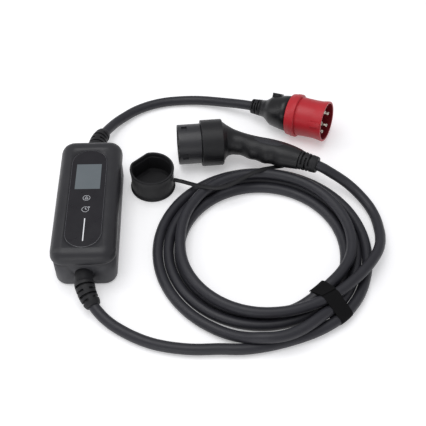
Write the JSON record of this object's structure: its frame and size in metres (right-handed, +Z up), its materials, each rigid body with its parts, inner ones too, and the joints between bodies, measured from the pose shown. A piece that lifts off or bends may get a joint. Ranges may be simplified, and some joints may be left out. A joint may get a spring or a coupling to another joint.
{
  "type": "portable electric car charger",
  "caption": "Portable electric car charger: an in-cable control box, a short supply lead with a red industrial plug, and a long coiled lead with a vehicle connector and its cap.",
  "frame": {"origin": "middle of the control box's underside, on the surface that it lies on", "axes": "+Y along the control box towards the supply lead, +X across it towards the coil, +Z up out of the fascia"},
  "size_m": [0.4278, 0.4483, 0.0653],
  "materials": {
    "satin_black": "satin moulded",
    "gloss_black": "polished",
    "black_rubber": "matt moulded",
    "cable_rubber": "satin extruded",
    "hook_and_loop": "woven pile",
    "display_glass": "unlit display under glass",
    "light_guide": "translucent white",
    "signal_red": "satin moulded",
    "dark_red": "satin moulded",
    "plated_pin": "nickel plated",
    "contact_metal": "silver plated",
    "steel": "zinc plated",
    "board": "solder resist",
    "relay_case": "moulded",
    "seal_grey": "matt moulded"
  },
  "bodies": {
    "root": {"board_spacer_1": "steel", "board_spacer_2": "steel", "board_spacer_3": "steel", "board_spacer_4": "steel", "cable_coil": "cable_rubber", "cap_tether": "black_rubber", "case_screw_1": "steel", "case_screw_2": "steel", "case_screw_3": "steel", "case_screw_4": "steel", "connector_boot": "black_rubber", "connector_cap": "black_rubber", "connector_collar": "satin_black", "connector_handle": "satin_black", "connector_lead": "cable_rubber", "connector_nose": "satin_black", "contact_carrier": "satin_black", "contact_earth": "contact_metal", "contact_line_1": "contact_metal", "contact_line_2": "contact_metal", "contact_line_3": "contact_metal", "contact_neutral": "contact_metal", "contact_pilot": "contact_metal", "contact_proximity": "contact_metal", "contact_tower_earth": "satin_black", "contact_tower_line_1": "satin_black", "contact_tower_line_2": "satin_black", "contact_tower_line_3": "satin_black", "contact_tower_neutral": "satin_black", "contact_tower_pilot": "satin_black", "contact_tower_proximity": "satin_black", "control_board": "board", "display_module": "gloss_black", "display_window": "display_glass", "fascia_panel": "gloss_black", "grip_inlay_lower": "black_rubber", "grip_inlay_upper": "black_rubber", "hook_and_loop_tie": "hook_and_loop", "leakage_sensor": "seal_grey", "light_bar": "light_guide", "lower_shell": "satin_black", "outlet_boot": "black_rubber", "outlet_cable": "cable_rubber", "plug_body": "satin_black", "plug_boot": "black_rubber", "plug_pin_carrier": "dark_red", "plug_pin_earth": "plated_pin", "plug_pin_line_1": "plated_pin", "plug_pin_line_2": "plated_pin", "plug_pin_line_3": "plated_pin", "plug_pin_neutral": "plated_pin", "plug_shroud": "signal_red", "power_board": "board", "power_supply": "satin_black", "relay_1": "relay_case", "relay_2": "relay_case", "shell_seal": "seal_grey", "supply_boot": "black_rubber", "supply_cable": "cable_rubber", "upper_shell": "satin_black"}
  },
  "joints": []
}
